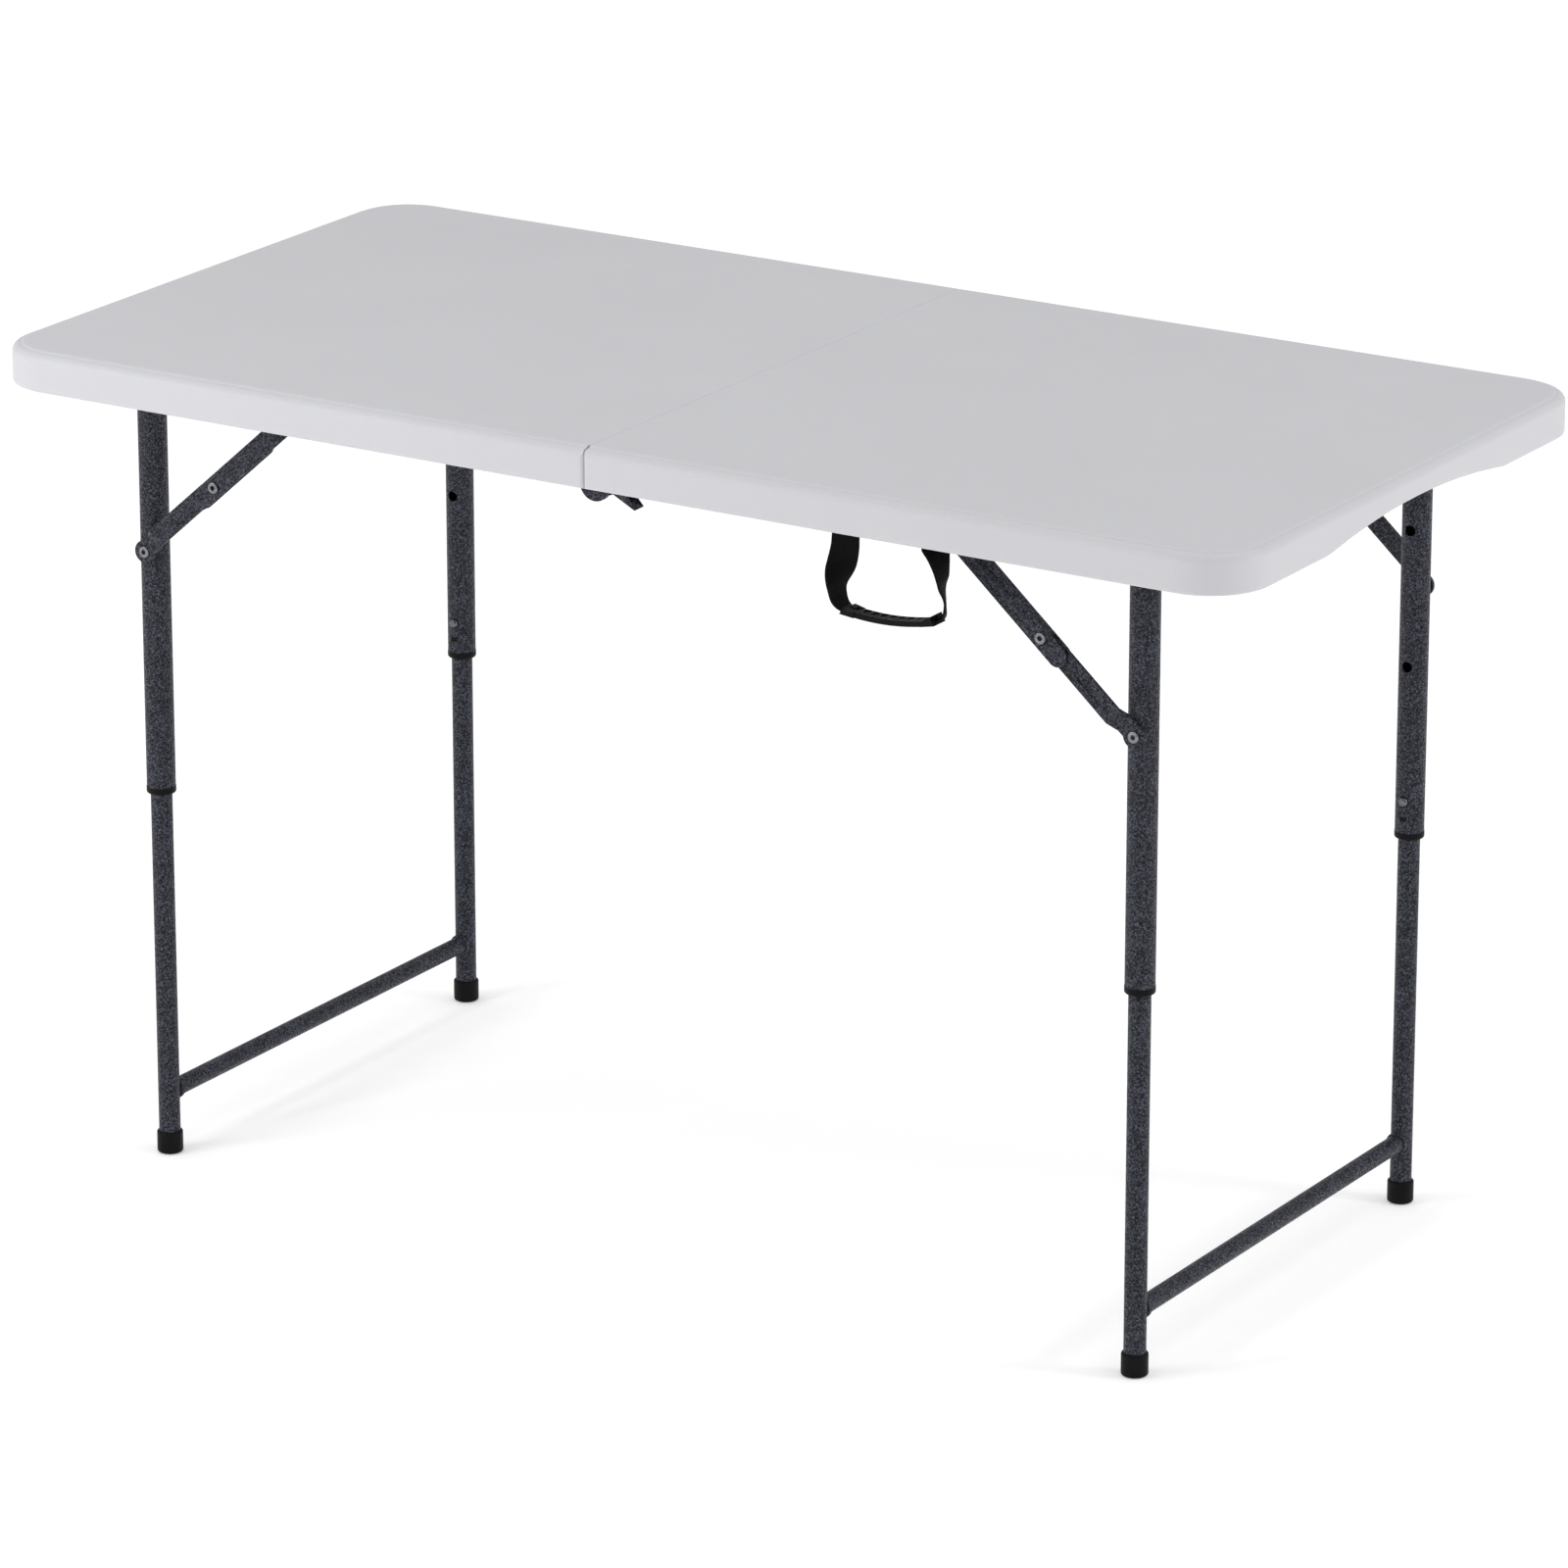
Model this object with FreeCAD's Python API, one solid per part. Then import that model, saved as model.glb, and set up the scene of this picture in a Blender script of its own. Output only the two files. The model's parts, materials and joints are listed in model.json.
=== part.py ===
import FreeCAD, Part
import math
import os

# A folding table: a blow-moulded top in two hinged halves, on two folding leg
# frames whose legs telescope. Millimetres. +X runs along the length, +Y towards
# the rear, +Z up. The origin is on the floor, under the middle of the top.

V = FreeCAD.Vector
os.makedirs("parts", exist_ok=True)

# ---- the top
LENGTH = 1220.0
WIDTH = 610.0
HEIGHT = 735.0
APRON = 35.0  # depth of the rim
CORNER_R = 55.0
SEAM_GAP = 0.12  # from the seam plane to each half
SHOULDER_DROP = 1.6  # the outer shoulder lies this far below the plateau
SHOULDER_R = 6.8
PLATEAU_INSET = 6.8
PLATEAU_R = 4.0  # it meets the shoulder before it is upright
BOTTOM_R = 2.5
SEAM_R = 3.2  # rounding of the apron where the halves meet
SEAM_V = (1.4, 8.0)  # half width and depth of the notch across the shoulder
RIM = 12.0  # thickness of the hollow rim
SKIN = 2.2
CENTRE = 8.5  # thickness of the double skin inside the rim
ARCH_HALF = 158.0
ARCH_RISE = 13.5
SEAM_RIM_HALF = 205.0  # the seam rim stops short of the legs
SEAM_RIM_T = 9.8
PILLAR_R = 7.0
PILLAR_X = (80.0, 190.0, 300.0, 410.0, 520.0)
PILLAR_Y = (-200.0, -100.0, 0.0, 100.0, 200.0)
DIMPLE_DEPTH = 4.5
DIMPLE_R = (4.4, 2.0)  # at its mouth and at its bottom
VENT_X = 560.0
VENT_R = 3.0

END = LENGTH / 2
SIDE = WIDTH / 2
BOTTOM = HEIGHT - APRON
CEILING = HEIGHT - CENTRE

# ---- the leg frames
LEG_X = 489.0
LEG_Y = 233.0
PIVOT_Z = 713.0
UPPER_R = 12.7
LOWER_R = 9.5
WALL = 1.2
TUBE_HEAD_R = 13.0
UPPER_END_Z = 339.5
LOWER_TOP_Z = 448.0
LOWER_FOOT_Z = 3.0
BAR_R = 8.0  # top pivot bar and lower crossbar
BAR_WALL = 1.5
PIVOT_BAR_END = 284.8
CROSSBAR_Z = 56.0
WELD_R = 9.6
HOLE_PITCH = 120.5
BUTTON_Z = 368.0
HOLE_R = 4.8
BUTTON_R = 4.3
BUTTON_OUT = 15.2  # tip and base of the snap button, from the leg's axis
BUTTON_BASE = 5.2
BUTTON_NOSE_R = 2.6
BUTTON_FLANGE = (0.5, 1.2)  # how far its base stands out, and its thickness
SPRING_W = 7.0
SPRING_T = 0.8
SPRING_Z = (-36.0, 7.0)  # its ends, from the button's axis
SLOT_Z = 352.4
SLOT_W = 6.4
SLOT_H = 4.2

# ---- plastic fittings of the legs
FOOT_R = 11.5
FOOT_H = 20.0
FOOT_ROUND = 2.0
COLLAR_R = 13.0
COLLAR_H = 6.0
COLLAR_TOP_Z = 358.0
GLIDE_BOTTOM_Z = 424.0
FIT = 0.05
RUN = 0.1

# ---- the rails under each half
RAIL_Y = 283.5  # outer face of the web
RAIL_T = 1.5
RAIL_IN_Y = 260.0
RAIL_BOTTOM_Z = 703.0
RAIL_X = (12.0, 508.0)
SCREW_X = (70.0, 190.0, 350.0, 440.0)
SCREW_Y = 272.0
SCREW_R = 2.0
SCREW_TOP_Z = 732.0
SCREW_HEAD_R = 4.2
SCREW_HEAD_H = 2.2

# ---- the braces
BRACE_DEG = 41.5
LEG_PIVOT_Z = 555.0
LINK_LOWER = 108.93
LINK_UPPER = 129.517
LINK_HALF = 7.4
CHANNEL_HALF = 9.0
CHANNEL_WEB = 1.3
CHANNEL_Y = (258.5, 250.5)
SHEET = 1.5
BAR_T = 3.0
LINK_Y = 254.0
LEG_END_Y = 247.5
JOGGLE = (86.0, 96.0)
LINK_END_R = 10.0
LINK_WIDE = 9.8  # its upper edge, past the step that stops it
STEP_AT = 9.0
KNEE_PAST = 20.0
WEB_PAST = 5.0
INNER_FLANGE = 66.0
PIN_R = 3.0
RIVET_HEAD_R = 5.0
RIVET_HEAD_H = 1.6
RIVET_HOLLOW_R = 2.2
PIVOT_HEAD_H = 0.9  # the flat head of a brace's rail pin
RIB_H = 1.2
UPPER_RIB = 3.6
LOWER_RIB = 1.8

# ---- the centre hinges and their latches
DISC_R = 14.5
DISC_T = 2.0
HINGE_ARM = 62.0
HINGE_GAP = 0.3
HINGE_PIN_R = 2.5
HINGE_HEAD = (4.2, 1.4)  # radius and height of its heads
LATCH_PIVOT = (12.3, 698.5)
LATCH_DEG = 27.2
LATCH_LEN = 28.0
LATCH_BACK = 6.5
LATCH_Y = (281.6, 268.4)
LATCH_HALF = 5.0
EAR_R = 6.5
LATCH_LIP = 1.2  # height of its sides at the tip
LATCH_PIN_R = 2.0

# ---- the carrying handle
HANDLE_Y = -288.6
HANDLE_Z = 709.0
STRAP_X = (230.0, 314.5)
STRAP_W = 26.0
STRAP_T = 1.8
LOOP_R = 3.8
ANCHOR_R = 2.0
ANCHOR_EAR = 1.6
ANCHOR_HALF_Y = 4.0
ANCHOR_SCREW_R = 1.5
# Outlines of the hanging sides, from the loops down and up again.
LEFT_SIDE = [(230, 690), (228, 673), (228, 661), (230.5, 649), (236, 639), (243, 633)]
LEFT_SIDE += [(252, 631.8), (250, 641), (245, 651), (248.5, 661), (253, 673), (255, 689)]
RIGHT_SIDE = [(317, 694), (325, 682), (329, 670), (330, 660), (328, 648), (324, 636)]
RIGHT_SIDE += [(331, 637), (334, 648), (335.5, 657), (337.5, 669), (340, 690)]
GRIP_ARC = ((242.5, 633.0), (275.0, 630.0), (330.5, 636.8))
GRIP_W = 17.0
GRIP_T = 4.6
GRIP_CORE_W = 13.0
GRIP_POCKETS = 9
POCKET_PITCH = 8.3
FLARE = 13.0
FLARE_OUT = 0.7
FLARE_LIPS = (0.8, 3.6)
POCKET_HALF = 2.4
POCKET_DEPTH = 1.0
ANCHOR_BOSS_R = 3.5
ANCHOR_HEAD = (3.0, 1.8)  # radius and height of the staple's screw head


def box(x0, x1, y0, y1, z0, z1):
    return Part.makeBox(x1 - x0, y1 - y0, z1 - z0, V(x0, y0, z0))


def rod_y(x, z, r, y0, y1):
    return Part.makeCylinder(r, y1 - y0, V(x, y0, z), V(0, 1, 0))


def rod_z(x, y, r, z0, z1):
    return Part.makeCylinder(r, z1 - z0, V(x, y, z0), V(0, 0, 1))


def rod_x(y, z, r, x0, x1):
    return Part.makeCylinder(r, x1 - x0, V(x0, y, z), V(1, 0, 0))


def flat(points, direction):
    """A flat closed polygon, extruded along a direction."""
    wire = Part.makePolygon([V(*p) for p in points + points[:1]])
    return Part.Face(wire).extrude(V(*direction))


def mirror_x(shape):
    return shape.mirror(V(0, 0, 0), V(1, 0, 0))


def mirror_y(shape):
    return shape.mirror(V(0, 0, 0), V(0, 1, 0))


def save(name, shapes):
    """Writes one node. Several solids in it are the same piece, repeated."""
    shape = shapes if len(shapes) > 1 else shapes[0]
    if len(shapes) > 1:
        shape = Part.makeCompound(shapes)
    shape.exportStep("parts/" + name + ".step")


def save_sides(name, shapes):
    """Writes the right-hand node and its mirror image on the left half."""
    save("right_" + name, shapes)
    save("left_" + name, [mirror_x(s) for s in shapes])


def save_corners(name, shapes):
    """Writes a piece of the right front corner for all four corners."""
    rear = [mirror_y(s) for s in shapes]
    save_sides("front_" + name, shapes)
    save_sides("rear_" + name, rear)


# ---------------------------------------------------------------- the top


def half_plan(inset, x0, z0, z1):
    """A prism with the plan of the right half, its far corners rounded."""
    x1 = END - inset
    y1 = SIDE - inset
    r = CORNER_R - inset
    k = r * (1 - math.sqrt(0.5))
    front = Part.LineSegment(V(x0, -y1, z0), V(x1 - r, -y1, z0))
    turn_a = Part.Arc(V(x1 - r, -y1, z0), V(x1 - k, -y1 + k, z0), V(x1, -y1 + r, z0))
    end = Part.LineSegment(V(x1, -y1 + r, z0), V(x1, y1 - r, z0))
    turn_b = Part.Arc(V(x1, y1 - r, z0), V(x1 - k, y1 - k, z0), V(x1 - r, y1, z0))
    rear = Part.LineSegment(V(x1 - r, y1, z0), V(x0, y1, z0))
    seam = Part.LineSegment(V(x0, y1, z0), V(x0, -y1, z0))
    sides = [front, turn_a, end, turn_b, rear, seam]
    wire = Part.Wire([s.toShape() for s in sides])
    return Part.Face(wire).extrude(V(0, 0, z1 - z0))


def edges_at(shape, z, seam):
    """The edges that lie at one height, with or without those on the seam."""
    found = []
    for e in shape.Edges:
        b = e.BoundBox
        level = abs(b.ZMin - z) < 1e-4 and abs(b.ZMax - z) < 1e-4
        on_seam = b.XMax < SEAM_GAP + 1e-4
        if level and (seam or not on_seam):
            found.append(e)
    return found


def outer_form():
    """The outside of a half: apron, rounded shoulder and raised plateau."""
    ledge = HEIGHT - SHOULDER_DROP
    skirt = half_plan(0, SEAM_GAP, BOTTOM, ledge)
    skirt = skirt.makeFillet(SHOULDER_R, edges_at(skirt, ledge, False))
    skirt = skirt.makeFillet(BOTTOM_R, edges_at(skirt, BOTTOM, False))
    plateau = half_plan(PLATEAU_INSET, SEAM_GAP, HEIGHT - PLATEAU_R - 1, HEIGHT)
    plateau = plateau.makeFillet(PLATEAU_R, edges_at(plateau, HEIGHT, False))
    form = skirt.fuse(plateau).removeSplitter()
    return form.cut(seam_corners() + seam_notches())


def seam_corners():
    """What rounds off the two upright corners of a half at the seam."""
    made = []
    x = SEAM_GAP + SEAM_R
    y = SIDE - SEAM_R
    for side in (-1, 1):
        y0 = min(side * y, side * (SIDE + 1))
        block = box(SEAM_GAP - 1, x, y0, y0 + SEAM_R + 1, BOTTOM - 1, HEIGHT + 1)
        made.append(block.cut(rod_z(x, side * y, SEAM_R, BOTTOM - 2, HEIGHT + 2)))
    return made


def seam_notches():
    """The V-shaped notches that carry the seam over the rounded shoulder."""
    half, depth = SEAM_V
    inner = SIDE - PLATEAU_INSET - PLATEAU_R
    made = []
    for y0 in (-SIDE - 1, inner):
        points = [(SEAM_GAP - 1, y0, HEIGHT + 1), (SEAM_GAP + half, y0, HEIGHT + 1)]
        points += [(SEAM_GAP, y0, HEIGHT - depth), (SEAM_GAP - 1, y0, HEIGHT - depth)]
        made.append(flat(points, (0, SIDE + 1 - inner, 0)))
    return made


def arch(extra):
    """The cylinder whose upper side is the shallow arch under the end apron."""
    r = (ARCH_HALF**2 + ARCH_RISE**2) / (2 * ARCH_RISE)
    z = BOTTOM + ARCH_RISE - r
    return rod_x(0, z, r + extra, END - RIM - 3 - extra, END + 1)


def pillars(r, z0, z1):
    """The places where the two skins of the centre are moulded together."""
    made = []
    for x in PILLAR_X:
        for y in PILLAR_Y:
            made.append(rod_z(x, y, r, z0, z1))
    for x in SCREW_X:
        for y in (-SCREW_Y, SCREW_Y):
            made.append(rod_z(x, y, PILLAR_R, z0, z1))
    return made


def cavity():
    """The hollow inside a half: its rim, its centre and its seam rim."""
    floor = BOTTOM + SKIN
    roof = CEILING + SKIN + 1
    inner = RIM - SKIN
    ring = half_plan(SKIN, SEAM_GAP + SKIN, floor, roof)
    ring = ring.cut(half_plan(inner, SEAM_GAP - 1, floor - 1, roof + 1))
    ring = ring.cut(arch(SKIN))
    centre = half_plan(inner - 1, SEAM_GAP + SKIN, CEILING + SKIN, HEIGHT - SKIN)
    seam_y = SEAM_RIM_HALF - SKIN
    seam_x = (SEAM_GAP + SKIN, SEAM_RIM_T - SKIN)
    seam = box(seam_x[0], seam_x[1], -seam_y, seam_y, floor, roof)
    centre = centre.cut(pillars(PILLAR_R, CEILING, HEIGHT))
    return ring.fuse([centre, seam])


def dimples():
    """The tapered dimples under the moulded-together places."""
    made = []
    for x in PILLAR_X:
        for y in PILLAR_Y:
            z = CEILING - 0.01
            made.append(Part.makeCone(DIMPLE_R[0], DIMPLE_R[1], DIMPLE_DEPTH, V(x, y, z)))
    return made


def screw_holes():
    made = []
    for x in SCREW_X:
        for y in (-SCREW_Y, SCREW_Y):
            made.append(rod_z(x, y, SCREW_R + FIT, CEILING - 3, SCREW_TOP_Z + FIT))
    return made


def anchor_middle(i):
    return STRAP_X[i] + STRAP_W / 2


def anchor_holes():
    made = []
    for i in (0, 1):
        x = anchor_middle(i)
        made.append(rod_z(x, HANDLE_Y, ANCHOR_SCREW_R + FIT, CEILING - 3, CEILING + 5))
    return made


def panel(handed):
    """One half of the top, hollow, with its recess for the folded legs."""
    shell = outer_form()
    recess = half_plan(RIM, SEAM_GAP - 1, BOTTOM - 1, CEILING)
    keep = box(SEAM_GAP, SEAM_RIM_T, -SEAM_RIM_HALF, SEAM_RIM_HALF, BOTTOM, CEILING)
    shell = shell.cut(recess.cut(keep))
    shell = shell.cut(arch(0))
    shell = shell.cut(cavity())
    shell = shell.cut(dimples())
    shell = shell.cut(screw_holes())
    vent = rod_z(VENT_X, 0, VENT_R, CEILING - 1, CEILING + SKIN + 1)
    shell = shell.cut(vent)
    if handed:
        boss_z = (CEILING, HEIGHT - SKIN)
        for i in (0, 1):
            x = anchor_middle(i)
            boss = rod_z(x, HANDLE_Y, ANCHOR_BOSS_R, boss_z[0], boss_z[1])
            shell = shell.fuse(boss)
        shell = shell.cut(anchor_holes())
    return shell.removeSplitter()


save("right_top_panel", [panel(True)])
save("left_top_panel", [mirror_x(panel(False))])

# ---------------------------------------------------------------- the rails


def front_rail():
    """An angle-section rail, its flange screwed up under the top."""
    x0, x1 = RAIL_X
    web = box(x0, x1, -RAIL_Y, -RAIL_Y + RAIL_T, RAIL_BOTTOM_Z, CEILING)
    flange = box(x0, x1, -RAIL_Y, -RAIL_IN_Y, CEILING - RAIL_T, CEILING)
    rail = web.fuse(flange)
    rail = rail.cut(rod_y(LEG_X, PIVOT_Z, BAR_R + RUN, -RAIL_Y - 1, -RAIL_Y + 3))
    x, z = brace_pivot()
    rail = rail.cut(rod_y(x, z, PIN_R, -RAIL_Y - 1, -RAIL_Y + 3))
    for x in SCREW_X:
        rail = rail.cut(rod_z(x, -SCREW_Y, SCREW_R + FIT, CEILING - 3, CEILING + 1))
    return rail.removeSplitter()


def brace_pivot():
    """Where the upper link of a brace turns on its rail, as X and Z."""
    a = math.radians(BRACE_DEG)
    reach = LINK_LOWER + LINK_UPPER
    x = LEG_X - reach * math.cos(a)
    z = LEG_PIVOT_Z + reach * math.sin(a)
    return x, z


def knee():
    a = math.radians(BRACE_DEG)
    x = LEG_X - LINK_LOWER * math.cos(a)
    z = LEG_PIVOT_Z + LINK_LOWER * math.sin(a)
    return x, z


def rail_screw(x):
    """A pan-head screw from below, through the rail and into the top."""
    z0 = CEILING - RAIL_T
    shank = rod_z(x, -SCREW_Y, SCREW_R, z0, SCREW_TOP_Z)
    head = rod_z(x, -SCREW_Y, SCREW_HEAD_R, z0 - SCREW_HEAD_H, z0)
    low = [e for e in head.Edges if abs(e.BoundBox.ZMax - z0 + SCREW_HEAD_H) < 1e-4]
    return shank.fuse(head.makeFillet(1.2, low))


def brace_pivot_pin():
    """A headed pin that carries the upper link of the front brace."""
    x, z = brace_pivot()
    outer_y = -RAIL_Y - PIVOT_HEAD_H
    pin = rod_y(x, z, PIN_R, outer_y, -CHANNEL_Y[0] + SHEET + 1.4)
    outer = rod_y(x, z, RIVET_HEAD_R, outer_y, -RAIL_Y)
    spacer = rod_y(x, z, RIVET_HEAD_R, -RAIL_Y + RAIL_T, -CHANNEL_Y[0] - HINGE_GAP)
    inner_y = -CHANNEL_Y[0] + SHEET + HINGE_GAP
    inner = rod_y(x, z, RIVET_HEAD_R, inner_y, inner_y + 1.1)
    return pin.fuse([outer, spacer, inner])


rail = front_rail()
save_sides("front_rail", [rail])
save_sides("rear_rail", [mirror_y(rail)])
screws = [rail_screw(x) for x in SCREW_X]
save_sides("rail_screws", screws + [mirror_y(s) for s in screws])
pivot_pin = brace_pivot_pin()
save_sides("brace_pivot_pins", [pivot_pin, mirror_y(pivot_pin)])

# ---------------------------------------------------------------- the legs


def upper_tube():
    """The outer tube of the right front leg. Its holes face the middle."""
    z1 = PIVOT_Z + TUBE_HEAD_R
    tube = rod_z(LEG_X, -LEG_Y, UPPER_R, UPPER_END_Z, z1)
    y0 = -LEG_Y - UPPER_R
    y1 = -LEG_Y + UPPER_R
    head = rod_y(LEG_X, PIVOT_Z, TUBE_HEAD_R, y0, y1)
    below = box(LEG_X - 20, LEG_X + 20, y0, y1, UPPER_END_Z - 1, PIVOT_Z)
    tube = tube.common(head.fuse(below))
    roof = PIVOT_Z + TUBE_HEAD_R - 2.5
    tube = tube.cut(rod_z(LEG_X, -LEG_Y, UPPER_R - WALL, UPPER_END_Z - 1, roof))
    tube = tube.cut(rod_y(LEG_X, PIVOT_Z, BAR_R, y0 - 1, y1 + 1))
    for i in range(3):
        z = BUTTON_Z + i * HOLE_PITCH
        tube = tube.cut(rod_y(LEG_X, z, HOLE_R, -LEG_Y, y1 + 1))
    x = SLOT_W / 2
    z = SLOT_H / 2
    slot = box(LEG_X - x, LEG_X + x, -LEG_Y, y1 + 1, SLOT_Z - z, SLOT_Z + z)
    return tube.cut(slot)


def lower_tube():
    tube = rod_z(LEG_X, -LEG_Y, LOWER_R, LOWER_FOOT_Z, LOWER_TOP_Z)
    tube = tube.cut(rod_z(LEG_X, -LEG_Y, LOWER_R - WALL, 0, LOWER_TOP_Z + 1))
    return tube.cut(rod_y(LEG_X, BUTTON_Z, HOLE_R, -LEG_Y, -LEG_Y + 20))


def pivot_bar():
    """The tube that joins the tops of two legs and turns in the rails."""
    bar = rod_y(LEG_X, PIVOT_Z, BAR_R, -PIVOT_BAR_END, PIVOT_BAR_END)
    return bar.cut(rod_y(LEG_X, PIVOT_Z, BAR_R - BAR_WALL, -300, 300))


def lower_crossbar():
    """The tube welded between the two feet, with a bead at each end."""
    bar = rod_y(LEG_X, CROSSBAR_Z, BAR_R, -LEG_Y, LEG_Y)
    for side in (-1, 1):
        y = side * (LEG_Y - LOWER_R)
        bead = rod_y(LEG_X, CROSSBAR_Z, WELD_R, y - 2.4, y + 2.4)
        bar = bar.fuse(bead.makeFillet(1.2, bead.Edges))
    bar = bar.cut(rod_y(LEG_X, CROSSBAR_Z, BAR_R - BAR_WALL, -LEG_Y, LEG_Y))
    for side in (-1, 1):
        bar = bar.cut(rod_z(LEG_X, side * LEG_Y, LOWER_R, 0, 2 * CROSSBAR_Z))
    return bar


def foot():
    """The plastic cap under a leg."""
    cap = rod_z(LEG_X, -LEG_Y, FOOT_R, 0, FOOT_H)
    cap = cap.makeFillet(FOOT_ROUND, [e for e in cap.Edges if len(e.Vertexes) == 1])
    return cap.cut(rod_z(LEG_X, -LEG_Y, LOWER_R, LOWER_FOOT_Z, FOOT_H + 1))


def collar():
    """The bush in the lower end of an outer tube, with its snap tab."""
    lip = rod_z(LEG_X, -LEG_Y, COLLAR_R, UPPER_END_Z - COLLAR_H, UPPER_END_Z)
    low = UPPER_END_Z - COLLAR_H
    lip = lip.makeFillet(1.8, [e for e in lip.Edges if abs(e.BoundBox.ZMax - low) < 1e-4])
    insert_r = UPPER_R - WALL - FIT
    insert = rod_z(LEG_X, -LEG_Y, insert_r, UPPER_END_Z - 1, COLLAR_TOP_Z)
    x = SLOT_W / 2 - FIT
    z = SLOT_H / 2 - FIT
    y1 = -LEG_Y + UPPER_R - 0.3
    tab = box(LEG_X - x, LEG_X + x, y1 - 3, y1, SLOT_Z - z, SLOT_Z + z)
    ring = lip.fuse([insert, tab])
    return ring.cut(rod_z(LEG_X, -LEG_Y, LOWER_R + RUN, 0, COLLAR_TOP_Z + 1))


def glide():
    """The plastic sleeve on top of an inner tube, running in the outer one."""
    outer_r = UPPER_R - WALL - RUN
    sleeve = rod_z(LEG_X, -LEG_Y, outer_r, GLIDE_BOTTOM_Z, LOWER_TOP_Z + 2)
    sleeve = sleeve.cut(rod_z(LEG_X, -LEG_Y, LOWER_R, GLIDE_BOTTOM_Z - 1, LOWER_TOP_Z))
    return sleeve.cut(rod_z(LEG_X, -LEG_Y, LOWER_R - 3, GLIDE_BOTTOM_Z, HEIGHT))


def snap_button():
    """The round-nosed button that locks the two tubes of a leg."""
    y0 = -LEG_Y + BUTTON_BASE
    y1 = -LEG_Y + BUTTON_OUT
    pin = rod_y(LEG_X, BUTTON_Z, BUTTON_R, y0, y1)
    nose = [e for e in pin.Edges if abs(e.BoundBox.YMin - y1) < 1e-4]
    pin = pin.makeFillet(BUTTON_NOSE_R, nose)
    wider, thick = BUTTON_FLANGE
    base = rod_y(LEG_X, BUTTON_Z, BUTTON_R + wider, y0, y0 + thick)
    return pin.fuse(base)


def button_spring():
    """The bent leaf behind a button, standing inside the inner tube."""
    x0 = LEG_X - SPRING_W / 2
    t = SPRING_T
    y_back = -LEG_Y - 7.0
    y_front = -LEG_Y + BUTTON_BASE
    z0 = BUTTON_Z + SPRING_Z[0]
    z1 = BUTTON_Z + SPRING_Z[1]
    front = [(x0, y_back + 3, z0), (x0, y_front, z1 - 12), (x0, y_front, z1)]
    front += [(x0, y_front - t, z1), (x0, y_front - t, z1 - 12), (x0, y_back + 3, z0 + 3)]
    back = [(x0, y_back, z0), (x0, y_back + 3.2, z0), (x0, y_back + 3.2, z0 + 3)]
    back += [(x0, y_back + t, z0 + 5), (x0, y_back + t, z1), (x0, y_back, z1)]
    across = (SPRING_W, 0, 0)
    return flat(front, across).fuse(flat(back, across))


def both(shape):
    return [shape, mirror_y(shape)]


save_corners("upper_leg", [upper_tube()])
save_corners("lower_leg", [lower_tube()])
save_sides("pivot_bar", [pivot_bar()])
save_sides("lower_crossbar", [lower_crossbar()])
save_sides("feet", both(foot()))
save_sides("leg_collars", both(collar()))
save_sides("leg_glides", both(glide()))
save_corners("snap_button", [snap_button()])
save_sides("button_springs", both(button_spring()))

# ---------------------------------------------------------------- the braces


def stadium(a, b, half, y0, y1):
    """A round-ended strip along X from a to b, between two Y planes."""
    strip = box(a, b, y0, y1, -half, half)
    ends = [rod_y(a, 0, half, y0, y1), rod_y(b, 0, half, y0, y1)]
    return strip.fuse(ends).removeSplitter()


def place_link(shape):
    """Turns a link drawn along +X from its knee, and moves it to the knee."""
    x, z = knee()
    made = shape.copy()
    made.rotate(V(0, 0, 0), V(0, 1, 0), BRACE_DEG)
    made.translate(V(x, 0, z))
    return made


def rib(a, b, h, half, y, out):
    """A pressed stiffening rib along a link, standing out of the plane y."""
    r = (half**2 + RIB_H**2) / (2 * RIB_H)
    centre = y - out * (r - RIB_H)
    bar = rod_x(centre, h, r, a, b)
    for x in (a, b):
        bar = bar.fuse(Part.makeSphere(r, V(x, centre, h)))
    y0 = min(y, y + out * RIB_H)
    return bar.common(box(a - half, b + half, y0, y0 + RIB_H, h - half, h + half))


def upper_link():
    """The channel of a brace, from its rail pivot to past the knee."""
    a = -LINK_UPPER
    y_out, y_in = -CHANNEL_Y[0], -CHANNEL_Y[1]
    face = stadium(a, KNEE_PAST, CHANNEL_HALF, y_out, y_out + SHEET)
    web_z = (CHANNEL_HALF - CHANNEL_WEB, CHANNEL_HALF)
    web = box(a, WEB_PAST, y_out, y_in, web_z[0], web_z[1])
    back = stadium(-INNER_FLANGE, KNEE_PAST, CHANNEL_HALF, y_in - SHEET, y_in)
    link = face.fuse([web, back, rib(a + 14, -15, 2.2, UPPER_RIB, y_out, -1)])
    link = link.cut(rod_y(0, 0, PIN_R + RUN, y_out - 2, y_in + 2))
    link = link.cut(rod_y(a, 0, PIN_R + RUN, y_out - 2, y_in + 2))
    dimple = Part.makeCone(1.6, 0.4, 1.1, V(KNEE_PAST - 1, y_out, 0), V(0, 1, 0))
    return place_link(link.cut(dimple).removeSplitter())


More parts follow.
